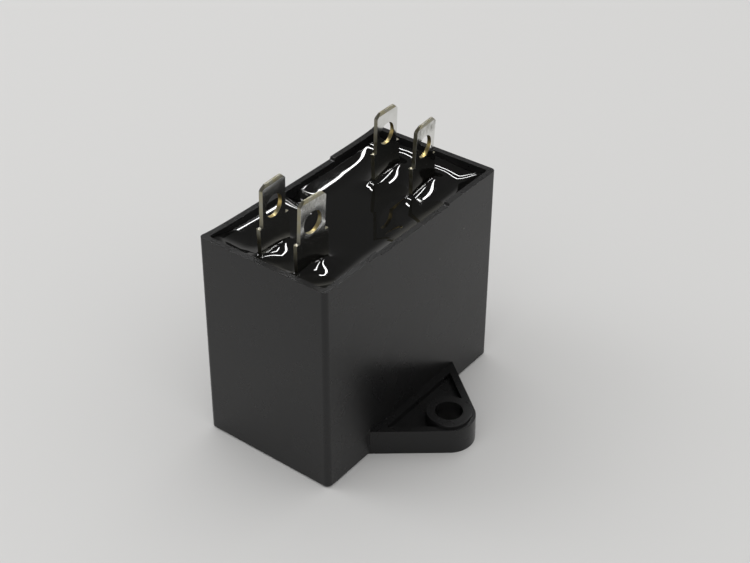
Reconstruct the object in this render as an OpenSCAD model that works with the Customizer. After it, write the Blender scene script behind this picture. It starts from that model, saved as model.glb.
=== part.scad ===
// Box film capacitor: an open moulded case with one mounting ear, filled with cast resin, that
// holds a flat-wound film roll and carries two folded double-blade terminals.
// Frame: +Z up, X along the case, the ear on the -Y side, origin at the centre of the case's base.

/* [Case] */
// Outside length of the case at its base, along X
case_l = 51.6; // [46:0.1:60]
// Outside width of the case at its base, along Y
case_w = 29.0; // [25:0.1:36]
// Height of the case, base to rim
case_h = 43.6; // [36:0.2:56]
// How far each outer wall leans in from the base to the rim
draft = 0.18; // [0.05:0.01:0.4]
// Thickness of the four side walls at the rim
wall_t = 1.2; // [1:0.1:2.2]
// Thickness of the case floor
floor_t = 1.8; // [1.2:0.1:3]
// Radius of the vertical outer corners at the base
corner_r = 1.1; // [0.9:0.1:1.6]
// Radius of the cavity's vertical corners
cavity_r = 0.6; // [0.4:0.1:1.6]
// Height of the chamfer round the base
base_chamfer = 0.4; // [0.2:0.1:0.6]

/* [Rim notches] */
// Length of the shallow notch in the rim of each long wall
notch_l = 21.2; // [10:0.4:30]
// Depth of the notch, also the radius of its ends
notch_d = 0.5; // [0.3:0.1:0.9]
// Place of the notch's middle along X
notch_x = -0.3; // [-4:0.1:4]

/* [Mounting ear] */
// Width of the ear where it leaves the case
ear_w = 27; // [22:0.5:34]
// Height of the ear
ear_t = 5.3; // [3.5:0.1:8]
// Distance from the case wall to the hole's axis
ear_reach = 8.5; // [7.5:0.1:12]
// Radius of the ear's round end
ear_end_r = 5.2; // [4.8:0.1:6]
// Diameter of the mounting hole
ear_hole_d = 5.3; // [4.2:0.1:6]
// Outer diameter of the boss round the hole
boss_d = 8.8; // [7.6:0.1:9]
// Height of the boss above the ear
boss_rise = 0.7; // [0.3:0.1:1.6]
// Depth of the pocket in the ear's top
pocket_d = 1.2; // [0.6:0.1:2.4]
// Width of the rim left round the pocket
pocket_rim = 1.5; // [1:0.1:2]

/* [Terminals] */
// Width of each blade
blade_w = 6.3; // [5.4:0.1:6.4]
// Thickness of the terminal sheet
sheet_t = 0.8; // [0.5:0.1:1]
// Length of each blade above its shoulders
blade_l = 8.2; // [7:0.1:9]
// Corner cut at each blade's tip
tip_cut = 1.0; // [0.5:0.1:1.5]
// Thinning of each blade's tip, on both faces
tip_bevel = 0.2; // [0.1:0.05:0.2]
// Diameter of the hole in each blade
blade_hole_d = 4.4; // [1.6:0.1:4.6]
// Height of the blade hole's centre above the shoulders
blade_hole_z = 3.0; // [2.6:0.1:3.6]
// Width of each leg below the shoulders
leg_w = 8.0; // [7:0.1:9]
// Height of the shoulders above the case rim
shoulder_rise = 3.3; // [2.5:0.1:5]
// Distance between the two legs of a terminal, middle to middle
leg_pitch = 8.5; // [7:0.1:10]
// Inner radius of the terminal's two folds
fold_r = 0.8; // [0.4:0.1:1.2]
// Distance from the case's -X end to the front terminal's middle
front_inset = 8.4; // [7.5:0.1:12]
// Distance from the case's +X end to the rear terminal's middle
rear_inset = 10.6; // [7.5:0.1:13]
// Place of both terminals' middle along Y
terminal_y = -0.5; // [-1.5:0.1:1.5]

/* [Potting resin] */
// Depth of the resin's surface below the rim
resin_drop = 3.1; // [2.8:0.1:5]
// Height to which the resin climbs the walls
wall_climb = 2.4; // [1.2:0.1:2.6]
// Height to which the resin climbs each terminal leg
leg_climb = 1.3; // [0.8:0.1:1.6]
// Thickness of the resin film at the top of each climb
lip_t = 0.25; // [0.15:0.05:0.4]

/* [Film winding] */
// Room between the winding and the two long walls, each side
side_room = 1.8; // [1:0.1:3]
// Room between each sprayed end and the case's end wall
end_room = 3.4; // [2.8:0.1:6]
// Room between the winding and the case floor
floor_room = 2.0; // [1:0.1:4]
// Room between the winding and the leads above it
top_room = 1.5; // [0.8:0.1:3]
// Thickness of the sprayed metal on each end
spray_t = 0.8; // [0.4:0.1:1.2]

/* [Leads and solder] */
// Diameter of the lead wire
lead_d = 1.0; // [0.6:0.1:1.2]
// Radius of each lead's bend, at its middle
lead_bend_r = 1.6; // [1.2:0.1:2]
// Gap under a lead that its solder fills
solder_gap = 0.15; // [0.1:0.05:0.3]
// Cover of solder over a lead
solder_cover = 0.3; // [0.2:0.05:0.5]
// Radius of each solder joint at its seat
solder_r = 2.2; // [1.8:0.1:2.6]
// Depth of each terminal's bridge below the resin's surface
bridge_depth = 3.8; // [3.5:0.1:6]

/* [Hidden] */
$fn = 64;

FRONT = -1;
REAR = 1;
over = 1;              // how far a cutting shape runs past what it cuts
cross = 0.05;          // how far a resin fillet dips below the surface that it runs out on
solder_narrow = 0.7;   // radius of a solder joint's outer end, as a share of its seat

// Case cavity
cavity_l = case_l - 2 * (draft + wall_t);
cavity_w = case_w - 2 * (draft + wall_t);

// Ear, drawn in plan: the sides run from the wall's corners tangent to the round end
ear_y = -case_w / 2 - ear_reach;
ear_side = sqrt(pow(ear_w / 2, 2) + ear_reach * ear_reach);
ear_angle = atan2(ear_reach, ear_w / 2) + asin(ear_end_r / ear_side);
ear_top = ear_t + boss_rise;

// Levels
resin_z = case_h - resin_drop;
shoulder_z = case_h + shoulder_rise;
tip_z = shoulder_z + blade_l;
bridge_z = resin_z - bridge_depth;
lead_z = bridge_z - solder_gap - lead_d / 2;
winding_top = lead_z - lead_d / 2 - top_room;
winding_bottom = floor_t + floor_room;
winding_z = (winding_top + winding_bottom) / 2;

// Film winding: a flat roll, its round edges up and down, its ends towards the case's ends
winding_r = cavity_w / 2 - side_room;
winding_flat = winding_top - winding_bottom - 2 * winding_r;
spray_x = cavity_l / 2 - end_room;
winding_l = 2 * (spray_x - spray_t);

// Leads
lead_x = spray_x + solder_gap + lead_d / 2;
solder_h = solder_gap + lead_d + solder_cover;
lead_tail = solder_r / 2;

function terminal_x(side) =
    side == FRONT ? front_inset - case_l / 2 : case_l / 2 - rear_inset;

// ---- shared shapes ----

module rounded_rect(l, w, r) {
    square([l - 2 * r, w], center = true);
    square([l, w - 2 * r], center = true);
    for (x = [-1, 1], y = [-1, 1])
        translate([x * (l / 2 - r), y * (w / 2 - r)]) circle(r = r);
}

// Extrudes a shape drawn in Y and Z along X, centred on X = 0
module along_x(length) {
    rotate([90, 0, 90])
        translate([0, 0, -length / 2]) linear_extrude(length) children();
}

// Extrudes a shape drawn in X and Z along Y, centred on Y = 0
module along_y(length) {
    rotate([90, 0, 0])
        translate([0, 0, -length / 2]) linear_extrude(length) children();
}

// ---- case ----

// Outline of the case from one side: a chamfer at the base, then walls that lean in
module case_outline(width) {
    polygon([
        [-width / 2 + base_chamfer, 0], [width / 2 - base_chamfer, 0],
        [width / 2, base_chamfer], [width / 2 - draft, case_h],
        [-width / 2 + draft, case_h], [-width / 2, base_chamfer]
    ]);
}

module case_corner() {
    cylinder(r1 = corner_r - base_chamfer, r2 = corner_r, h = base_chamfer);
    translate([0, 0, base_chamfer])
        cylinder(r1 = corner_r, r2 = corner_r - draft, h = case_h - base_chamfer);
}

module case_body() {
    along_x(case_l - 2 * corner_r) case_outline(case_w);
    along_y(case_w - 2 * corner_r) case_outline(case_l);
    for (x = [-1, 1], y = [-1, 1])
        translate([x * (case_l / 2 - corner_r), y * (case_w / 2 - corner_r), 0]) case_corner();
}

module cavity() {
    translate([0, 0, floor_t])
        linear_extrude(case_h) rounded_rect(cavity_l, cavity_w, cavity_r);
}

module rim_notches() {
    reach = notch_l / 2 - notch_d;
    translate([notch_x, 0, case_h]) {
        translate([-reach, -case_w / 2 - over, -notch_d])
            cube([2 * reach, case_w + 2 * over, notch_d + over]);
        for (x = [-reach, reach])
            translate([x, 0, 0]) rotate([90, 0, 0])
                cylinder(r = notch_d, h = case_w + 2 * over, center = true);
    }
}

// Point where the ear's side, set in by inset, meets the round end
function ear_tangent(inset) =
    [-(ear_end_r - inset) * sin(ear_angle), ear_y - (ear_end_r - inset) * cos(ear_angle)];

// Point where the same side meets the line at height y in plan
function ear_corner(inset, y) =
    let (t = ear_tangent(inset))
    [t.x - (y - t.y) / tan(ear_angle), y];

module ear_plan(inset, wall_y) {
    t = ear_tangent(inset);
    c = ear_corner(inset, wall_y);
    polygon([c, t, [0, ear_y], [-t.x, t.y], [-c.x, c.y]]);
}

module ear() {
    difference() {
        linear_extrude(ear_t) {
            ear_plan(0, -case_w / 2);
            translate([0, ear_y]) circle(r = ear_end_r);
            translate([-ear_w / 2, -case_w / 2 - cross])
                square([ear_w, wall_t / 2]);
        }
        translate([0, 0, ear_t - pocket_d])
            linear_extrude(pocket_d + over) ear_plan(pocket_rim, -case_w / 2 - pocket_rim);
    }
    translate([0, ear_y, 0]) cylinder(d = boss_d, h = ear_top);
}

module case() {
    color([0.16, 0.16, 0.17])
    difference() {
        union() {
            case_body();
            ear();
        }
        cavity();
        rim_notches();
        translate([0, ear_y, -over]) cylinder(d = ear_hole_d, h = ear_top + 2 * over);
    }
}

// ---- terminals ----

// A trough with round lower corners, drawn in Y and Z
module trough(half, bottom, top, r) {
    translate([-half, bottom + r]) square([2 * half, top - bottom - r]);
    translate([-half + r, bottom]) square([2 * (half - r), r]);
    for (y = [-1, 1])
        translate([y * (half - r), bottom + r]) circle(r = r);
}

module folded_sheet() {
    half = leg_pitch / 2;
    difference() {
        trough(half + sheet_t / 2, bridge_z, tip_z, fold_r + sheet_t);
        trough(half - sheet_t / 2, bridge_z + sheet_t, tip_z + over, fold_r);
        for (leg = [-half, half], face = [-1, 1])
            translate([leg + face * sheet_t / 2, tip_z])
                polygon([[-face * tip_bevel, 0], [0, -2 * tip_bevel], [face, 0], [0, over]]);
    }
}

module blade_outline() {
    polygon([
        [-leg_w / 2, bridge_z - over], [leg_w / 2, bridge_z - over],
        [leg_w / 2, shoulder_z], [blade_w / 2, shoulder_z],
        [blade_w / 2, tip_z - tip_cut], [blade_w / 2 - tip_cut, tip_z],
        [-blade_w / 2 + tip_cut, tip_z], [-blade_w / 2, tip_z - tip_cut],
        [-blade_w / 2, shoulder_z], [-leg_w / 2, shoulder_z]
    ]);
}

module terminal(side) {
    reach = leg_pitch + 2 * sheet_t + 2 * over;
    color([0.78, 0.77, 0.72])
    translate([terminal_x(side), terminal_y, 0])
    difference() {
        intersection() {
            along_x(leg_w + over) folded_sheet();
            along_y(reach) blade_outline();
        }
        translate([0, 0, shoulder_z + blade_hole_z])
            rotate([90, 0, 0]) cylinder(d = blade_hole_d, h = reach, center = true);
    }
}

// ---- film winding and its sprayed ends ----

module roll_section() {
    for (z = [-1, 1])
        translate([0, winding_z + z * winding_flat / 2]) circle(r = winding_r);
    translate([-winding_r, winding_z - winding_flat / 2]) square([2 * winding_r, winding_flat]);
}

module film_winding() {
    color([0.86, 0.84, 0.76]) along_x(winding_l) roll_section();
}

module end_spray(side) {
    color([0.62, 0.63, 0.66])
    translate([side * (spray_x - spray_t / 2), 0, 0])
        along_x(spray_t) roll_section();
}

// ---- leads and solder ----

// One lead: up from the sprayed end, round a bend and in under the terminal's bridge
module lead_wire(side) {
    bend_x = side * (lead_x - lead_bend_r);
    run_end = terminal_x(side) - side * lead_tail;
    translate([side * lead_x, terminal_y, winding_z - lead_tail])
        cylinder(d = lead_d, h = lead_z - lead_bend_r - winding_z + lead_tail);
    translate([bend_x, terminal_y, lead_z - lead_bend_r])
        rotate([90, 0, 0]) rotate([0, 0, side == FRONT ? 90 : 0])
            rotate_extrude(angle = 90) translate([lead_bend_r, 0]) circle(d = lead_d);
    translate([min(bend_x, run_end), terminal_y, lead_z])
        rotate([0, 90, 0]) cylinder(d = lead_d, h = abs(bend_x - run_end));
}

module lead(side) {
    color([0.75, 0.75, 0.77]) lead_wire(side);
}

module solder_cone() {
    cylinder(r1 = solder_r, r2 = solder_r * solder_narrow, h = solder_h);
}

module spray_solder(side) {
    color([0.70, 0.71, 0.73])
    difference() {
        translate([side * spray_x, terminal_y, winding_z])
            rotate([0, side * 90, 0]) solder_cone();
        lead_wire(side);
    }
}

module bridge_solder(side) {
    color([0.70, 0.71, 0.73])
    difference() {
        translate([terminal_x(side), terminal_y, bridge_z])
            rotate([180, 0, 0]) solder_cone();
        lead_wire(side);
    }
}

// ---- potting resin ----

// Fillet that climbs a wall: its foot at 0, its lip rising at width
module climb_section(rise) {
    r = rise + cross + lip_t;
    foot = sqrt(r * r - pow(r - cross - rise, 2));
    difference() {
        translate([-lip_t - foot, -over]) square([lip_t + foot, rise + over]);
        translate([-lip_t - foot, r - cross]) circle(r = r);
    }
}

module wall_climbs() {
    for (turn = [0, 180]) rotate([0, 0, turn]) {
        translate([0, cavity_w / 2, 0]) along_x(cavity_l) climb_section(wall_climb);
        translate([cavity_l / 2, 0, 0]) along_y(cavity_w) climb_section(wall_climb);
    }
}

// Section through a collar round something of the given half width
module collar_section(half) {
    for (flip = [0, 1])
        mirror([flip, 0]) translate([-half, 0]) climb_section(leg_climb);
    translate([-half, -over]) square([2 * half, leg_climb + over]);
}

module leg_collar() {
    r = leg_climb + 2 * lip_t + cross;
    intersection() {
        along_y(2 * r + sheet_t) collar_section(leg_w / 2);
        along_x(2 * r + leg_w) collar_section(sheet_t / 2);
    }
}

module potting_resin() {
    color([0.07, 0.07, 0.07])
    difference() {
        intersection() {
            cavity();
            union() {
                translate([-case_l / 2, -case_w / 2, 0]) cube([case_l, case_w, resin_z]);
                translate([0, 0, resin_z]) {
                    wall_climbs();
                    for (side = [FRONT, REAR], leg = [-1, 1])
                        translate([terminal_x(side), terminal_y + leg * leg_pitch / 2, 0])
                            leg_collar();
                }
            }
        }
        film_winding();
        for (side = [FRONT, REAR]) {
            end_spray(side);
            terminal(side);
            lead_wire(side);
            spray_solder(side);
            bridge_solder(side);
        }
    }
}

case();
potting_resin();
terminal(FRONT);  // terminal_front
terminal(REAR);  // terminal_rear
film_winding();
end_spray(FRONT);  // end_spray_front
end_spray(REAR);  // end_spray_rear
lead(FRONT);  // lead_front
lead(REAR);  // lead_rear
spray_solder(FRONT);  // spray_solder_front
spray_solder(REAR);  // spray_solder_rear
bridge_solder(FRONT);  // bridge_solder_front
bridge_solder(REAR);  // bridge_solder_rear
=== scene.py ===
import bpy
import bmesh
import math
from mathutils import Vector, Matrix


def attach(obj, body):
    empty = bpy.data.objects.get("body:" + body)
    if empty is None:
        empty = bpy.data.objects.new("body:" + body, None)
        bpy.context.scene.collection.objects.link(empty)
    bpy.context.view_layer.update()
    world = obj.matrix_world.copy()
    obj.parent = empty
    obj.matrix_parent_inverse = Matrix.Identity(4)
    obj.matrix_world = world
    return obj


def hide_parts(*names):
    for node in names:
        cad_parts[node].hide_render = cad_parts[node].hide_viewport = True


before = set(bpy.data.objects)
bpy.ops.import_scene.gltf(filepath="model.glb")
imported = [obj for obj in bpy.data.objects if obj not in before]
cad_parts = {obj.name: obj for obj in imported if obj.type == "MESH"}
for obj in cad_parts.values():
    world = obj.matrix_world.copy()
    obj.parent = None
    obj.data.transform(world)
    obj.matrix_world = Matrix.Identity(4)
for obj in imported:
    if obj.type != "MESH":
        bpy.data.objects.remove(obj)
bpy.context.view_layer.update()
mm = 0.001  # lengths below are in millimetres
scene = bpy.context.scene
print("frame loaded")


# mesh helpers

def linkMesh(name, bm):
    mesh = bpy.data.meshes.new(name)
    bm.to_mesh(mesh)
    bm.free()
    obj = bpy.data.objects.new(name, mesh)
    scene.collection.objects.link(obj)
    return obj


def skinRings(name, rings):  # closed solid through rings of equal length
    bm = bmesh.new()
    loops = [[bm.verts.new(Vector(p) * mm) for p in ring] for ring in rings]
    for low, high in zip(loops, loops[1:]):
        for i in range(len(low)):
            j = (i + 1) % len(low)
            bm.faces.new((low[i], low[j], high[j], high[i]))
    bm.faces.new(list(reversed(loops[0])))
    bm.faces.new(loops[-1])
    bmesh.ops.recalc_face_normals(bm, faces=bm.faces)
    return linkMesh(name, bm)


def settle(obj):  # keeps what the modifiers made, and drops the modifiers
    graph = bpy.context.evaluated_depsgraph_get()
    graph.update()
    old = obj.data
    mesh = bpy.data.meshes.new_from_object(obj.evaluated_get(graph))
    obj.modifiers.clear()
    obj.data = mesh
    bpy.data.meshes.remove(old)


def combine(target, tool, how):
    cut = target.modifiers.new("combine", "BOOLEAN")
    cut.operation = how
    cut.solver = "EXACT"
    cut.object = tool
    settle(target)
    bpy.data.objects.remove(tool)


def sliceMesh(obj, axis, places, keep=None):  # adds edge loops across the given places
    bm = bmesh.new()
    bm.from_mesh(obj.data)
    normal = Vector((axis == 0, axis == 1, axis == 2))
    for place in places:
        faces = [f for f in bm.faces if keep is None or keep(f)]
        edges = list({e for f in faces for e in f.edges})
        verts = list({v for f in faces for v in f.verts})
        bmesh.ops.bisect_plane(bm, geom=verts + edges + faces, dist=1e-7,
                               plane_co=normal * place * mm, plane_no=normal)
    bm.to_mesh(obj.data)
    bm.free()


def roundEdges(obj, width, segments, angle):
    bevel = obj.modifiers.new("edges", "BEVEL")
    bevel.width = width * mm
    bevel.segments = segments
    bevel.limit_method = "ANGLE"
    bevel.angle_limit = math.radians(angle)


def softShade(obj):
    obj.data.shade_smooth()
    normals = obj.modifiers.new("normals", "WEIGHTED_NORMAL")
    normals.weight = 100


def smoothStep(low, high, value):
    t = min(1.0, max(0.0, (value - low) / (high - low)))
    return t * t * (3 - 2 * t)


# node helpers

def addNode(tree, kind, settings=None, **inputs):
    node = tree.nodes.new(kind)
    for key, value in (settings or {}).items():
        setattr(node, key, value)
    for key, value in inputs.items():   # i0, i1 and so on by number, the rest by the socket's name
        numbered = key[0] == "i" and key[1:].isdigit()
        socket = node.inputs[int(key[1:]) if numbered else key.replace("_", " ")]
        if isinstance(value, bpy.types.NodeSocket):
            tree.links.new(value, socket)
        else:
            socket.default_value = value
    return node


def mathNode(tree, operation, a, b=None, c=None):
    inputs = {"i0": a}
    if b is not None:
        inputs["i1"] = b
    if c is not None:
        inputs["i2"] = c
    return addNode(tree, "ShaderNodeMath", {"operation": operation}, **inputs).outputs[0]


def vectorNode(tree, operation, a, b):
    return addNode(tree, "ShaderNodeVectorMath", {"operation": operation}, i0=a, i1=b).outputs


def mixColor(tree, factor, a, b):
    return addNode(tree, "ShaderNodeMix", {"data_type": "RGBA"}, i0=factor, i6=a, i7=b).outputs[2]


def mixValue(tree, factor, a, b):
    return addNode(tree, "ShaderNodeMix", {"data_type": "FLOAT"}, i0=factor, i2=a, i3=b).outputs[0]


def mapRange(tree, value, low, high, toLow=0.0, toHigh=1.0, smooth=False):
    kind = "SMOOTHSTEP" if smooth else "LINEAR"
    return addNode(tree, "ShaderNodeMapRange", {"interpolation_type": kind, "clamp": True}, Value=value,
                   From_Min=low, From_Max=high, To_Min=toLow, To_Max=toHigh).outputs[0]


def newGroup(name, inputs, outputs):
    group = bpy.data.node_groups.new(name, "ShaderNodeTree")
    kinds = {"value": "NodeSocketFloat", "vector": "NodeSocketVector"}
    for label, kind, default in inputs:
        socket = group.interface.new_socket(name=label, in_out="INPUT", socket_type=kinds[kind])
        socket.default_value = default
    for label in outputs:
        group.interface.new_socket(name=label, in_out="OUTPUT", socket_type=kinds["value"])
    return group, group.nodes.new("NodeGroupInput").outputs, group.nodes.new("NodeGroupOutput").inputs


def useGroup(tree, group, **inputs):
    return addNode(tree, "ShaderNodeGroup", {"node_tree": group}, **inputs).outputs


def newMaterial(name, **shader):
    material = bpy.data.materials.new(name)
    material.use_nodes = True
    tree = material.node_tree
    tree.nodes.clear()
    surface = addNode(tree, "ShaderNodeBsdfPrincipled", **shader)
    out = tree.nodes.new("ShaderNodeOutputMaterial")
    tree.links.new(surface.outputs[0], out.inputs[0])
    place = tree.nodes.new("ShaderNodeTexCoord").outputs["Object"]
    return material, tree, surface, place


# effects that the materials share or repeat

def makeSpecks():  # scattered dust grains
    group, given, out = newGroup("dustSpecks", [
        ("Place", "vector", (0, 0, 0)), ("Density", "value", 600.0), ("Share", "value", 0.1),
        ("Grain", "value", 0.12)], ["Mask"])
    cells = addNode(group, "ShaderNodeTexVoronoi", Vector=given["Place"], Scale=given["Density"])
    chosen = addNode(group, "ShaderNodeSeparateColor", i0=cells.outputs["Color"])
    near = mathNode(group, "LESS_THAN", cells.outputs["Distance"],
                    mathNode(group, "MULTIPLY", given["Grain"], chosen.outputs[1]))
    kept = mathNode(group, "LESS_THAN", chosen.outputs[0], given["Share"])
    group.links.new(mathNode(group, "MULTIPLY", near, kept), out["Mask"])
    return group


def makeClouds():  # slow, soft variation from 0 to 1
    group, given, out = newGroup("softClouds", [
        ("Place", "vector", (0, 0, 0)), ("Density", "value", 120.0), ("Detail", "value", 3.0),
        ("Low", "value", 0.35), ("High", "value", 0.65)], ["Amount"])
    cloud = addNode(group, "ShaderNodeTexNoise", Vector=given["Place"], Scale=given["Density"],
                    Detail=given["Detail"], Roughness=0.55)
    group.links.new(mapRange(group, cloud.outputs[0], given["Low"], given["High"]), out["Amount"])
    return group


def makeStroke():  # one scratch between two points
    group, given, out = newGroup("strokeMark", [
        ("Place", "vector", (0, 0, 0)), ("Start", "vector", (0, 0, 0)), ("End", "vector", (0, 0, 0.001)),
        ("Radius", "value", 0.0002), ("Ragged", "value", 0.0001)], ["Mask"])
    wobble = addNode(group, "ShaderNodeTexNoise", Vector=given["Place"], Scale=4000.0)
    shift = mathNode(group, "SUBTRACT", wobble.outputs[0], 0.5)
    shift = mathNode(group, "MULTIPLY", shift, given["Ragged"])
    arm = vectorNode(group, "SUBTRACT", given["End"], given["Start"])[0]
    reach = vectorNode(group, "SUBTRACT", given["Place"], given["Start"])[0]
    along = vectorNode(group, "DOT_PRODUCT", reach, arm)["Value"]
    whole = vectorNode(group, "DOT_PRODUCT", arm, arm)["Value"]
    share = addNode(group, "ShaderNodeClamp", i0=mathNode(group, "DIVIDE", along, whole)).outputs[0]
    foot = addNode(group, "ShaderNodeVectorMath", {"operation": "SCALE"}, i0=arm, Scale=share).outputs[0]
    gap = vectorNode(group, "DISTANCE", reach, foot)["Value"]
    inside = mathNode(group, "LESS_THAN", mathNode(group, "ADD", gap, shift), given["Radius"])
    group.links.new(inside, out["Mask"])
    return group


def makeScuffs():  # fine parallel rubbing, long along Z
    group, given, out = newGroup("rubbedLines", [
        ("Place", "vector", (0, 0, 0)), ("Density", "value", 9000.0), ("Stretch", "value", 0.06),
        ("Low", "value", 0.5), ("High", "value", 0.75)], ["Mask"])
    scale = addNode(group, "ShaderNodeCombineXYZ", X=given["Density"], Y=given["Density"],
                    Z=mathNode(group, "MULTIPLY", given["Density"], given["Stretch"]))
    stretched = vectorNode(group, "MULTIPLY", given["Place"], scale.outputs[0])[0]
    lines = addNode(group, "ShaderNodeTexNoise", Vector=stretched, Scale=1.0, Detail=2.0)
    group.links.new(mapRange(group, lines.outputs[0], given["Low"], given["High"]), out["Mask"])
    return group


def dustySurface(tree, surface, look, clouds, marks):  # a dark surface that dust and scratches lighten
    pale = mathNode(tree, "MULTIPLY", marks, look["dustShare"])
    color = mixColor(tree, pale, look["color"], look["dust"])
    rough = mathNode(tree, "MULTIPLY_ADD", clouds, look["unevenness"], look["roughness"])
    rough = mathNode(tree, "MULTIPLY_ADD", marks, look["dustRoughness"], rough)
    tree.links.new(color, surface.inputs["Base Color"])
    tree.links.new(rough, surface.inputs["Roughness"])


dustSpecks = makeSpecks()
softClouds = makeClouds()
strokeMark = makeStroke()
rubbedLines = makeScuffs()
print("shared effects made")


# the moulded case and its mounting ear

case = {
    "length": 51.6, "width": 29.0, "height": 43.6, "draft": 0.18, "wall": 1.2, "floor": 1.8,
    "cornerRadius": 1.1, "cornerSteps": 8, "cavityRadius": 0.6, "baseChamfer": 0.4, "edgeRound": 0.2,
    "notchLength": 20.7, "notchDepth": 0.5, "notchMiddle": -0.05,
    "bowMiddle": 0.85, "bowEnd": 0.3, "bowFrom": 8.0, "bowAcross": (9.0, 12.6),   # the far wall's bow
    "color": (0.0095, 0.0095, 0.0098, 1), "roughness": 0.25, "unevenness": 0.05,
    "dust": (0.30, 0.29, 0.27, 1), "dustShare": 0.5, "dustRoughness": 0.3,
    "scratches": [   # start, end and radius, on the short end
        ((-25.5, 6.3, 19.4), (-25.5, 6.0, 19.2), 0.16),
        ((-25.5, 5.2, 13.0), (-25.5, 3.9, 11.8), 0.10),
        ((-25.5, 3.9, 11.8), (-25.5, 3.6, 12.6), 0.10)],
}
ear = {
    "wallWidth": 27.0, "height": 5.3, "reach": 8.49, "endRadius": 5.2, "endSteps": 28, "draft": 0.1,
    "hole": 5.3, "holeSteps": 64, "boss": 8.8, "bossRise": 0.7, "bossFoot": 0.5, "bossDraft": 0.05,
    "pocket": 1.2, "pocketRim": 1.5, "pocketDraft": 0.1,
}


def rectRing(length, width, radius, z, steps):
    ring = []
    for turn, (sx, sy) in enumerate(((1, 1), (-1, 1), (-1, -1), (1, -1))):
        cx, cy = sx * (length / 2 - radius), sy * (width / 2 - radius)
        for step in range(steps + 1):
            a = math.radians(90 * turn + 90 * step / steps)
            ring.append((cx + radius * math.cos(a), cy + radius * math.sin(a), z))
    return ring


def circleRing(cx, cy, radius, z, steps):
    angles = [2 * math.pi * i / steps for i in range(steps)]
    return [(cx + radius * math.cos(a), cy + radius * math.sin(a), z) for a in angles]


def earRing(inset, z, wallY, roundEnd=True):   # straight sides, tangent to the round end
    radius = ear["endRadius"] - inset
    middleY = -case["width"] / 2 - ear["reach"]
    half = ear["wallWidth"] / 2
    lean = math.atan2(ear["reach"], half) + math.asin(ear["endRadius"] / math.hypot(half, ear["reach"]))
    tx, ty = radius * math.sin(lean), middleY - radius * math.cos(lean)
    wx = tx + (wallY - ty) / math.tan(lean)
    if not roundEnd:
        return [(-wx, wallY, z), (-tx, ty, z), (0, middleY, z), (tx, ty, z), (wx, wallY, z)]
    ring = [(-wx, wallY, z)]
    low, high = math.radians(-90) - lean, math.radians(-90) + lean
    for step in range(ear["endSteps"] + 1):
        a = low + (high - low) * step / ear["endSteps"]
        ring.append((radius * math.cos(a), middleY + radius * math.sin(a), z))
    return ring + [(wx, wallY, z)]


def bow(x, z):  # how far the far wall has moved in at a place
    run = max(0.0, 1 - (x / (case["length"] / 2)) ** 4)
    depth = case["bowEnd"] * min(1.0, 3 * run) + (case["bowMiddle"] - case["bowEnd"]) * run
    return depth * smoothStep(case["bowFrom"], case["height"], z)


def makeCase():
    c, e = case, ear
    steps = c["cornerSteps"]
    over = 1.0   # how far a cutting shape runs past what it cuts
    body = skinRings("mouldedCase", [
        rectRing(c["length"] - 2 * c["baseChamfer"], c["width"] - 2 * c["baseChamfer"],
                 c["cornerRadius"] - c["baseChamfer"], 0, steps),
        rectRing(c["length"], c["width"], c["cornerRadius"], c["baseChamfer"], steps),
        rectRing(c["length"] - 2 * c["draft"], c["width"] - 2 * c["draft"],
                 c["cornerRadius"] - c["draft"] / 2, c["height"], steps)])
    wallY = -c["width"] / 2
    middleY = wallY - e["reach"]
    sunkY = wallY + c["wall"] / 2
    lug = skinRings("lug", [earRing(0, 0, sunkY), earRing(e["draft"], e["height"], sunkY)])
    rim = e["pocketRim"]
    combine(lug, skinRings("pocket", [
        earRing(rim + e["pocketDraft"], e["height"] - e["pocket"], wallY - rim, False),
        earRing(rim, e["height"] + over, wallY - rim + e["pocketDraft"] / 2, False)]), "DIFFERENCE")
    top = e["height"] + e["bossRise"]
    combine(lug, skinRings("boss", [
        circleRing(0, middleY, e["boss"] / 2, e["bossFoot"], e["holeSteps"]),
        circleRing(0, middleY, e["boss"] / 2 - e["bossDraft"], top, e["holeSteps"])]), "UNION")
    combine(body, lug, "UNION")
    inside = (c["length"] - 2 * (c["draft"] + c["wall"]), c["width"] - 2 * (c["draft"] + c["wall"]))
    hollow = [rectRing(*inside, c["cavityRadius"], z, 4) for z in (c["floor"], c["height"] + over)]
    combine(body, skinRings("cavity", hollow), "DIFFERENCE")
    reach = c["notchLength"] / 2
    depth, rimZ = c["notchDepth"], c["height"]
    profile = [(-reach, rimZ + over), (-reach, rimZ)]
    for a in (math.pi / 8, math.pi / 4, math.pi * 3 / 8):   # the notch's rounded end
        profile.append((-reach + depth - depth * math.cos(a), rimZ - depth * math.sin(a)))
    profile += [(-reach + depth, rimZ - depth)]
    profile += [(-x, z) for x, z in reversed(profile)]
    notches = [[(x + c["notchMiddle"], y, z) for x, z in profile] for y in (-c["width"], c["width"])]
    combine(body, skinRings("notches", notches), "DIFFERENCE")
    bore = [circleRing(0, middleY, e["hole"] / 2, z, e["holeSteps"]) for z in (-over, top + over)]
    combine(body, skinRings("hole", bore), "DIFFERENCE")
    bm = bmesh.new()
    bm.from_mesh(body.data)
    bmesh.ops.remove_doubles(bm, verts=bm.verts, dist=0.01 * mm)
    bmesh.ops.dissolve_limit(bm, angle_limit=math.radians(0.5), verts=bm.verts, edges=bm.edges)
    bm.to_mesh(body.data)
    bm.free()

    def onFarWall(face):
        return face.calc_center_median().y > 9 * mm and max(v.co.y for v in face.verts) > 11 * mm

    sliceMesh(body, 0, range(-24, 25, 2), onFarWall)
    sliceMesh(body, 2, range(10, 43, 4), onFarWall)
    for v in body.data.vertices:
        x, y, z = v.co / mm
        v.co.y -= bow(x, z) * smoothStep(*c["bowAcross"], y) * mm
    roundEdges(body, c["edgeRound"], 3, 32)
    softShade(body)
    return body


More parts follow.
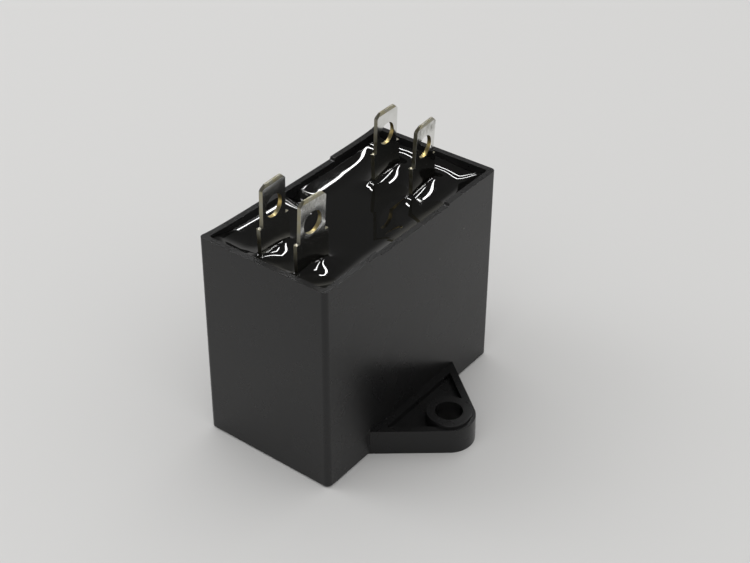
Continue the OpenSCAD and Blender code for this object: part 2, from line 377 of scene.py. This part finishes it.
def makeCaseMaterial():
    material, tree, surface, place = newMaterial("mouldedPlastic", IOR=1.5, Specular_IOR_Level=0.37)
    clouds = useGroup(tree, softClouds, Place=place, Density=90.0, Detail=4.0)["Amount"]
    fine = useGroup(tree, softClouds, Place=place, Density=700.0, Low=0.4, High=0.6)["Amount"]
    marks = useGroup(tree, dustSpecks, Place=place, Density=520.0, Share=0.03, Grain=0.11)["Mask"]
    for start, end, radius in case["scratches"]:
        stroke = useGroup(tree, strokeMark, Place=place, Start=[v * mm for v in start],
                          End=[v * mm for v in end], Radius=radius * mm, Ragged=0.2 * mm)["Mask"]
        marks = mathNode(tree, "MAXIMUM", marks, stroke)
    dustySurface(tree, surface, case, clouds, marks)
    grain = addNode(tree, "ShaderNodeBump", Strength=0.12, Distance=0.02 * mm, Height=fine)
    tree.links.new(grain.outputs[0], surface.inputs["Normal"])
    return material


caseObj = makeCase()
caseObj.data.materials.append(makeCaseMaterial())
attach(caseObj, "root")
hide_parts("case")
print("case made")


# the two folded terminals, each with a pair of blades

terminal = {
    "bladeWidth": 6.3, "legWidth": 8.0, "sheet": 0.8, "shoulderZ": 46.9, "tipZ": 55.1, "bridgeZ": 36.7,
    "pitch": 8.5, "middleY": -0.5, "foldRadius": 0.8, "tipCut": 1.0, "tipThin": 0.2, "tipBevel": 0.6,
    "hole": 4.4, "holeRise": 3.0, "holeSteps": 56, "edgeRound": 0.13,
    "loose": (2, 6),   # height above the bridge over which a leg comes free to bend
    "worn": (0.0522, 0.0550), "grimy": (0.0405, 0.0490), "rubbedSide": (-0.0035, -0.0025),
    "wornRoughness": 0.2, "frontRoughness": 0.075,
    "tin": (0.79, 0.79, 0.77, 1), "tinDull": (0.70, 0.70, 0.67, 1), "tinLow": (0.70, 0.69, 0.62, 1),
    "scuffed": (0.50, 0.495, 0.45, 1), "rubbedDark": (0.16, 0.155, 0.14, 1),
    "edge": (0.34, 0.31, 0.20, 1), "edgeTin": (0.36, 0.35, 0.30, 1), "brass": (0.66, 0.50, 0.18, 1),
}
places = {"frontTerminal": -17.4, "rearTerminal": 15.2}
# how each blade has been bent: yaw in degrees, shift at its tip, and a slow curl above the shoulder
poses = {
    ("frontTerminal", 1): {"yaw": 2.5, "dx": 0.2, "dy": 0.55, "curl": -0.005},
    ("frontTerminal", -1): {"yaw": -3.0, "dx": 0.2, "dy": 0.35, "curl": -0.007},
    ("rearTerminal", 1): {"yaw": 1.0, "dx": -0.2, "dy": 0.55, "curl": -0.006},
    ("rearTerminal", -1): {"yaw": 4.0, "dx": 0.15, "dy": 0.55, "curl": -0.0085},
}


def foldSizes():  # radius at the sheet's middle, half the flat bridge, length of one fold
    radius = terminal["foldRadius"] + terminal["sheet"] / 2
    return radius, terminal["pitch"] / 2 - radius, radius * math.pi / 2


def bend(u, s, w):  # a point of the flat strip, put on the folded one
    neutral, flat, arc = foldSizes()
    side = 1 if s >= 0 else -1
    run = abs(s)
    base = terminal["bridgeZ"] + terminal["sheet"] / 2
    if run <= flat:
        return u, side * run, base - w
    if run <= flat + arc:
        a = (run - flat) / neutral
        r = neutral + w
        return u, side * (flat + r * math.sin(a)), base + neutral - r * math.cos(a)
    return u, side * (flat + neutral + w), base + neutral + run - flat - arc


def poseBlade(name, x, y, z):
    t = terminal
    side = 1 if y >= 0 else -1
    pose = poses[(name, side)]
    rise = z - t["bridgeZ"]
    lift = smoothStep(*t["loose"], rise)
    lean = lift * rise / (t["tipZ"] - t["bridgeZ"])
    a = math.radians(pose["yaw"]) * lift
    cy = side * t["pitch"] / 2
    dx, dy = x, y - cy
    curl = pose["curl"] * max(0.0, z - t["shoulderZ"] + 1) ** 2
    return (dx * math.cos(a) - dy * math.sin(a) + pose["dx"] * lean,
            cy + dx * math.sin(a) + dy * math.cos(a) + pose["dy"] * lean + curl, z)


def makeTerminal(name, middleX, materials):
    t = terminal
    neutral, flat, arc = foldSizes()
    rise = flat + arc - (t["bridgeZ"] + t["sheet"] / 2 + neutral)  # strip length minus height, on a leg
    tip, shoulder = t["tipZ"] + rise, t["shoulderZ"] + rise
    blade, leg, cut = t["bladeWidth"] / 2, t["legWidth"] / 2, t["tipCut"]
    half = [(leg, 0), (leg, shoulder), (blade, shoulder), (blade, tip - cut), (blade - cut, tip)]
    quarter = half[1:]
    outline = quarter + [(-u, s) for u, s in reversed(quarter)]
    outline += [(-u, -s) for u, s in quarter] + [(u, -s) for u, s in reversed(quarter)]
    strip = skinRings(name, [[(u, s, w) for u, s in outline] for w in (-t["sheet"] / 2, t["sheet"] / 2)])
    for material in materials:
        strip.data.materials.append(material)
    for side in (-1, 1):
        middle = side * (shoulder + t["holeRise"])
        punch = [circleRing(0, middle, t["hole"] / 2, z, t["holeSteps"]) for z in (-2, 2)]
        combine(strip, skinRings("punch", punch), "DIFFERENCE")
    bm = bmesh.new()
    bm.from_mesh(strip.data)
    bmesh.ops.remove_doubles(bm, verts=bm.verts, dist=0.005 * mm)
    for f in bm.faces:   # 0 the plated faces, 1 the cut edges, 2 the hole's wall
        middle = f.calc_center_median() / mm
        inHole = math.hypot(middle.x, abs(middle.y) - shoulder - t["holeRise"]) < t["hole"] / 2 + 0.1
        f.material_index = 0 if abs(f.normal.z) > 0.5 else 2 if inHole else 1
    bm.to_mesh(strip.data)
    bm.free()
    roundEdges(strip, t["edgeRound"], 2, 40)
    settle(strip)
    folds = [flat + arc * i / 8 for i in range(9)]
    cuts = folds + [flat + arc + 2 + i for i in range(4)] + [tip - t["tipBevel"]]
    sliceMesh(strip, 1, cuts + [-c for c in cuts])
    for f in strip.data.polygons:
        if abs(f.center.y) > (tip - t["tipBevel"]) * mm:
            f.material_index = 1
    for v in strip.data.vertices:
        u, s, w = v.co / mm
        w *= 1 - t["tipThin"] / (t["sheet"] / 2) * max(0.0, (abs(s) - tip) / t["tipBevel"] + 1)
        x, y, z = poseBlade(name, *bend(u, s, w))
        v.co = Vector((x + middleX, y + t["middleY"], z)) * mm
    bm = bmesh.new()
    bm.from_mesh(strip.data)
    bmesh.ops.recalc_face_normals(bm, faces=bm.faces)
    bm.to_mesh(strip.data)
    bm.free()
    softShade(strip)
    return strip


def makeTin():
    material, tree, surface, place = newMaterial("tinPlating", Metallic=1.0)
    t = terminal
    clouds = useGroup(tree, softClouds, Place=place, Density=420.0)["Amount"]
    rubbed = useGroup(tree, rubbedLines, Place=place, Density=2200.0, Stretch=0.2,
                      Low=0.45, High=0.7)["Mask"]
    grime = useGroup(tree, rubbedLines, Place=place, Density=1300.0, Stretch=0.35, Low=0.45)["Mask"]
    spot = addNode(tree, "ShaderNodeSeparateXYZ", i0=place).outputs
    height = mathNode(tree, "MULTIPLY_ADD", clouds, 0.0012, spot[2])
    high = mapRange(tree, height, *t["worn"], smooth=True)
    low = mapRange(tree, height, *t["grimy"], smooth=True)
    worn = mathNode(tree, "MULTIPLY", high, mapRange(tree, spot[1], *t["rubbedSide"], 1.0, 0.0))
    scuff = mathNode(tree, "MULTIPLY", rubbed, worn)
    base = mixColor(tree, clouds, t["tin"], t["tinDull"])
    base = mixColor(tree, low, t["tinLow"], base)
    base = mixColor(tree, mathNode(tree, "MULTIPLY", grime, worn), base, t["rubbedDark"])
    tree.links.new(mixColor(tree, scuff, base, t["scuffed"]), surface.inputs["Base Color"])
    front = mapRange(tree, spot[0], -0.002, 0.002, 1.0, 0.0)   # the front terminal is the duller one
    rough = mathNode(tree, "MULTIPLY_ADD", clouds, 0.04, 0.07)
    rough = mathNode(tree, "MULTIPLY_ADD", worn, t["wornRoughness"], rough)
    rough = mathNode(tree, "MULTIPLY_ADD", front, t["frontRoughness"], rough)
    tree.links.new(rough, surface.inputs["Roughness"])
    grain = addNode(tree, "ShaderNodeBump", Strength=0.35, Distance=0.015 * mm, Height=scuff)
    tree.links.new(grain.outputs[0], surface.inputs["Normal"])
    return material


def makeBareMetal(name, color, patches, density, roughness):   # where the sheet was cut after plating
    material, tree, surface, place = newMaterial(name, Metallic=1.0)
    clouds = useGroup(tree, softClouds, Place=place, Density=density)["Amount"]
    tree.links.new(mixColor(tree, clouds, color, patches), surface.inputs["Base Color"])
    tree.links.new(mathNode(tree, "MULTIPLY_ADD", clouds, 0.15, roughness), surface.inputs["Roughness"])
    return material


tin = makeTin()
cutEdge = makeBareMetal("bareEdge", terminal["edge"], terminal["edgeTin"], 900.0, 0.3)
holeWall = makeBareMetal("bareHoleWall", terminal["brass"], terminal["edge"], 700.0, 0.32)
for name, node in (("frontTerminal", "terminal_front"), ("rearTerminal", "terminal_rear")):
    obj = makeTerminal(name, places[name], (tin, cutEdge, holeWall))
    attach(obj, "root")
    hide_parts(node)
print("terminals made")


# the resin that fills the case, with its climb up the walls and legs

resin = {
    "level": 40.5, "step": 0.15, "bottom": 1.85, "bury": 0.05,
    "climbSlope": 0.242,   # the slope that a climb has at its reach
    "farWall": {   # values from its -X end to its +X end, and the places along X between which they turn
        "slope": (0.269, 0.359, 0.45), "slopeTurns": ((-4, 3), (9, 17)),
        "run": (7.33, 3.79), "runTurn": (-8, 3), "reachTurn": (-6.21, 2.73),
        "leftReach": (2.106, 0.0342), "rightReach": (3.222, -0.0274, -0.00154),
        "dip": {"loss": 0.24, "middle": -2.0, "spread": 1.5},
        "creep": {"slope": 0.07, "left": 8, "rise": (-4.74, 9.5)}},
    "endWall": {"slope": 0.69, "reach": 1.68, "extra": 1.29, "middle": 0.15, "spread": 7.71, "run": 7.00},
    "nearWall": (0.55, 5.15), "frontWall": (0.45, 6.26),   # slope at the wall and reach
    "edgeFilm": {"height": 0.13, "reach": 0.25, "farShare": 0.3},
    "legFilm": {"height": 0.2, "reach": 0.3},
    "ceiling": (2.3, 0.45),   # height where a climb slows down, and how much farther it gets
    "swell": {"height": 0.48, "middle": (21.07, -2.01), "spread": (7.95, 14.37)},
    "collars": {   # slope at the leg's faces, reach, and how much is lost towards the leg's edges
        ("frontTerminal", 1): (0.40, 3.47, 0.53), ("frontTerminal", -1): (0.34, 5.94, 0.56),
        ("rearTerminal", 1): (0.37, 4.64, 0.24), ("rearTerminal", -1): (0.32, 5.22, 0.19)},
    "color": (0.006, 0.006, 0.0058, 1), "roughness": 0.02, "unevenness": 0.015,
    "dust": (0.5, 0.48, 0.44, 1), "dustShare": 0.6, "dustRoughness": 0.5,
}
cavity = [case[size] / 2 - case["draft"] - case["wall"] for size in ("length", "width")]


def climb(gap, slope, reach, run):  # up a wall, easing off over the run, with climbSlope at the reach
    ease = 0.5 - math.sin(math.asin(max(-1.0, min(1.0, 2 * resin["climbSlope"] / slope - 1))) / 3)
    full = reach - ease * run
    t = min(1.0, max(0.0, (gap - full) / run))
    return slope * (run * (0.5 - t + t ** 3 - t ** 4 / 2) + max(full - gap, 0))


def dish(gap, slope, reach):  # up a wall, from nothing at the reach
    return 0.5 * slope * reach * max(0.0, 1 - gap / reach) ** 2


def bell(offset, spread):
    return math.exp(-(offset / spread) ** 2)


def legRise(name, side, x, y):
    t, pose = terminal, poses[(name, side)]
    a = math.radians(pose["yaw"])
    dx, dy = x - places[name], y - t["middleY"] - side * t["pitch"] / 2
    u = dx * math.cos(a) + dy * math.sin(a)
    v = dy * math.cos(a) - dx * math.sin(a)
    gap = math.hypot(max(abs(u) - t["legWidth"] / 2, 0), max(abs(v) - t["sheet"] / 2, 0))
    slope, reach, loss = resin["collars"][(name, side)]
    edge = min(1.0, abs(u) / (t["legWidth"] / 2)) ** 2
    film = resin["legFilm"]
    return dish(gap, slope, reach) * (1 - loss * edge) + film["height"] * math.exp(-gap / film["reach"])


def farClimb(gap, x):   # the far wall's climb, which changes along the wall
    far, dip = resin["farWall"], resin["farWall"]["dip"]
    low, middle, high = far["slope"]
    first, second = (smoothStep(*turn, x) for turn in far["slopeTurns"])
    slope = low + (middle - low) * first + (high - middle) * second
    slope -= dip["loss"] * bell(x - dip["middle"], dip["spread"])
    left, right = (sum(c * x ** n for n, c in enumerate(far[key])) for key in ("leftReach", "rightReach"))
    reach = left + (right - left) * smoothStep(*far["reachTurn"], x)
    run = far["run"][0] + (far["run"][1] - far["run"][0]) * smoothStep(*far["runTurn"], x)
    return climb(gap, slope, reach, run)


def resinHeight(x, y):   # above the resin's level
    r, end, film, swell = resin, resin["endWall"], resin["edgeFilm"], resin["swell"]
    gaps = (cavity[1] - bow(x, r["level"]) - y, cavity[0] - x, cavity[1] + y, cavity[0] + x)
    h = farClimb(gaps[0], x)
    creep = r["farWall"]["creep"]
    h += creep["slope"] * max(0.0, 1 - x / creep["left"]) ** 2 * smoothStep(*creep["rise"], y)
    endReach = end["reach"] + end["extra"] * bell(y - end["middle"], end["spread"])
    h += climb(gaps[1], end["slope"], endReach, end["run"])
    h += dish(gaps[2], *r["nearWall"]) + dish(gaps[3], *r["frontWall"])
    for side, gap in enumerate(gaps):
        h += film["height"] * (1 if side else film["farShare"]) * math.exp(-max(gap, 0) / film["reach"])
    start, more = r["ceiling"]
    if h > start:
        h = start + more * (1 - math.exp((start - h) / more))
    (middleX, middleY), (spreadX, spreadY) = swell["middle"], swell["spread"]
    h += swell["height"] * bell(x - middleX, spreadX) * bell(y - middleY, spreadY)
    return h + sum(legRise(name, side, x, y) for name in places for side in (-1, 1))


def makeResin():
    r = resin
    bm = bmesh.new()
    nx, ny = round(2 * cavity[0] / r["step"]), round(2 * cavity[1] / r["step"])
    push = 1 + r["bury"] / cavity[0]   # into the walls, so that no seam shows
    grid = []
    for i in range(nx + 1):
        x = -cavity[0] + 2 * cavity[0] * i / nx
        across = 2 * cavity[1] - bow(x, r["level"])
        row = []
        for j in range(ny + 1):
            y = -cavity[1] + across * j / ny
            row.append(bm.verts.new(Vector((x * push, y * push, r["level"] + resinHeight(x, y))) * mm))
        grid.append(row)
    for i in range(nx):
        for j in range(ny):
            bm.faces.new((grid[i][j], grid[i + 1][j], grid[i + 1][j + 1], grid[i][j + 1]))
    border = [grid[i][0] for i in range(nx)] + [grid[nx][j] for j in range(ny)]
    border += [grid[i][ny] for i in range(nx, 0, -1)] + [grid[0][j] for j in range(ny, 0, -1)]
    feet = [bm.verts.new((v.co.x, v.co.y, r["bottom"] * mm)) for v in border]
    for i in range(len(border)):
        j = (i + 1) % len(border)
        bm.faces.new((border[j], border[i], feet[i], feet[j]))
    bm.faces.new(list(reversed(feet)))
    bmesh.ops.recalc_face_normals(bm, faces=bm.faces)
    obj = linkMesh("resinPour", bm)
    obj.data.shade_smooth()
    return obj


def makeResinMaterial():
    material, tree, surface, place = newMaterial("castResin", IOR=1.5)
    clouds = useGroup(tree, softClouds, Place=place, Density=110.0, Detail=2.0)["Amount"]
    specks = useGroup(tree, dustSpecks, Place=place, Density=520.0, Share=0.09, Grain=0.11)["Mask"]
    dustySurface(tree, surface, resin, clouds, specks)
    grain = addNode(tree, "ShaderNodeTexNoise", Vector=place, Scale=90.0, Detail=0.0)
    ripple = addNode(tree, "ShaderNodeBump", Strength=0.12, Distance=0.03 * mm, Height=grain.outputs[0])
    tree.links.new(ripple.outputs[0], surface.inputs["Normal"])
    return material


resinObj = makeResin()
resinObj.data.materials.append(makeResinMaterial())
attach(resinObj, "root")
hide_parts("potting_resin")
print("resin made")


# inner parts, which the resin hides

inner = {
    "film": {
        "nodes": ["film_winding"], "color": (0.80, 0.77, 0.66, 1), "shade": (0.62, 0.60, 0.52, 1),
        "metal": 0.35, "rough": 0.3, "density": 400.0},
    "sprayedZinc": {
        "nodes": ["end_spray_front", "end_spray_rear"], "color": (0.42, 0.43, 0.45, 1),
        "shade": (0.30, 0.31, 0.33, 1), "metal": 0.8, "rough": 0.65, "density": 2500.0},
    "tinnedWire": {
        "nodes": ["lead_front", "lead_rear"], "color": (0.72, 0.72, 0.73, 1),
        "shade": (0.60, 0.60, 0.60, 1), "metal": 1.0, "rough": 0.25, "density": 900.0},
    "solder": {
        "nodes": ["spray_solder_front", "spray_solder_rear", "bridge_solder_front", "bridge_solder_rear"],
        "color": (0.66, 0.67, 0.69, 1), "shade": (0.50, 0.51, 0.53, 1), "metal": 1.0, "rough": 0.3,
        "density": 600.0},
}
for name, look in inner.items():
    material, tree, surface, place = newMaterial(name, Metallic=look["metal"])
    grain = useGroup(tree, softClouds, Place=place, Density=look["density"], Detail=4.0,
                     Low=0.3, High=0.7)["Amount"]
    tree.links.new(mixColor(tree, grain, look["color"], look["shade"]), surface.inputs["Base Color"])
    tree.links.new(mathNode(tree, "MULTIPLY_ADD", grain, 0.2, look["rough"]), surface.inputs["Roughness"])
    bump = addNode(tree, "ShaderNodeBump", Strength=0.4, Distance=0.05 * mm, Height=grain)
    tree.links.new(bump.outputs[0], surface.inputs["Normal"])
    for node in look["nodes"]:
        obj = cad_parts[node]
        obj.data.materials.clear()
        obj.data.materials.append(material)
print("inner parts dressed")


# floor, lights and camera

stage = {
    "floorSize": 3.0, "floorColor": (0.66, 0.662, 0.665, 1),
    "fill": 0.93,   # the world's light on the object; the next three are what shiny surfaces mirror
    "horizon": 0.55, "sky": 0.12, "horizonUp": (0.12, 0.45),
    "tubeAlong": (-0.604, 0.797, 0),
    "lamps": {   # the tubes show only as glints, and the soft lamps light the object for them
        "farTube": {"soft": False, "place": (0.51, 0.387, 0.75), "size": (0.025, 1.1), "power": 2.8},
        "nearTube": {"soft": False, "place": (0.359, 0.272, 0.75), "size": (0.025, 1.1), "power": 2.8},
        "backSoft": {"soft": True, "place": (0.43, 0.33, 0.75), "size": (0.5, 1.0), "power": 0.35},
        "leftSoft": {"soft": True, "place": (-0.35, 0.75, 0.7), "size": (0.5, 0.6), "power": 1.6}},
}
camera = {"azimuth": -52.84, "elevation": 35.065, "roll": 0.391, "lens": 67.85, "sensor": 36.0,
          "middle": (0, 0, 21.8), "right": 4.194, "up": 3.341, "back": 269.26}


def makeFloor():
    bm = bmesh.new()
    bmesh.ops.create_grid(bm, x_segments=8, y_segments=8, size=stage["floorSize"] / 2)
    floor = linkMesh("floor", bm)
    floor.data.materials.append(newMaterial(
        "paleFloor", Base_Color=stage["floorColor"], Roughness=0.9, Specular_IOR_Level=0.0)[0])


def makeWorld():
    world = bpy.data.worlds.new("studio")
    world.use_nodes = True
    scene.world = world
    tree = world.node_tree
    tree.nodes.clear()
    toward = tree.nodes.new("ShaderNodeTexCoord").outputs["Generated"]
    up = addNode(tree, "ShaderNodeSeparateXYZ", i0=toward).outputs[2]
    mirrored = mapRange(tree, up, *stage["horizonUp"], stage["horizon"], stage["sky"], smooth=True)
    diffuse = tree.nodes.new("ShaderNodeLightPath").outputs["Is Diffuse Ray"]
    level = mixValue(tree, diffuse, mirrored, stage["fill"])
    sky = addNode(tree, "ShaderNodeBackground", Color=(1, 0.99, 0.97, 1), Strength=level)
    out = tree.nodes.new("ShaderNodeOutputWorld")
    tree.links.new(sky.outputs[0], out.inputs[0])


def makeLamps():
    for name, lamp in stage["lamps"].items():
        light = bpy.data.lights.new(name, "AREA")
        light.shape = "RECTANGLE"
        light.size, light.size_y = lamp["size"]
        light.energy = lamp["power"]
        obj = bpy.data.objects.new(name, light)
        toward = Vector(lamp["place"]).normalized()
        across = Vector(stage["tubeAlong"]).cross(toward).normalized()
        turn = Matrix((across, toward.cross(across), toward)).transposed().to_4x4()
        obj.matrix_world = Matrix.Translation(lamp["place"]) @ turn
        obj.visible_diffuse = lamp["soft"]
        obj.visible_glossy = not lamp["soft"]
        scene.collection.objects.link(obj)


def makeCamera():
    c = camera
    az, el, roll = (math.radians(c[k]) for k in ("azimuth", "elevation", "roll"))
    back = Vector((math.sin(az) * math.cos(el), -math.cos(az) * math.cos(el), math.sin(el)))
    level = Vector((math.cos(az), math.sin(az), 0))
    upright = back.cross(level)
    right = level * math.cos(roll) + upright * math.sin(roll)
    up = upright * math.cos(roll) - level * math.sin(roll)
    data = bpy.data.cameras.new("camera")
    data.lens, data.sensor_width = c["lens"], c["sensor"]
    data.clip_start, data.clip_end = 0.01, 20
    obj = bpy.data.objects.new("camera", data)
    turn = Matrix((right, up, back)).transposed().to_4x4()
    place = Vector(c["middle"]) + right * c["right"] + up * c["up"] + back * c["back"]
    obj.matrix_world = Matrix.Translation(place * mm) @ turn
    scene.collection.objects.link(obj)
    bpy.context.scene.camera = obj


makeFloor()
makeWorld()
makeLamps()
makeCamera()
scene.view_settings.view_transform = "Standard"
print("stage set")
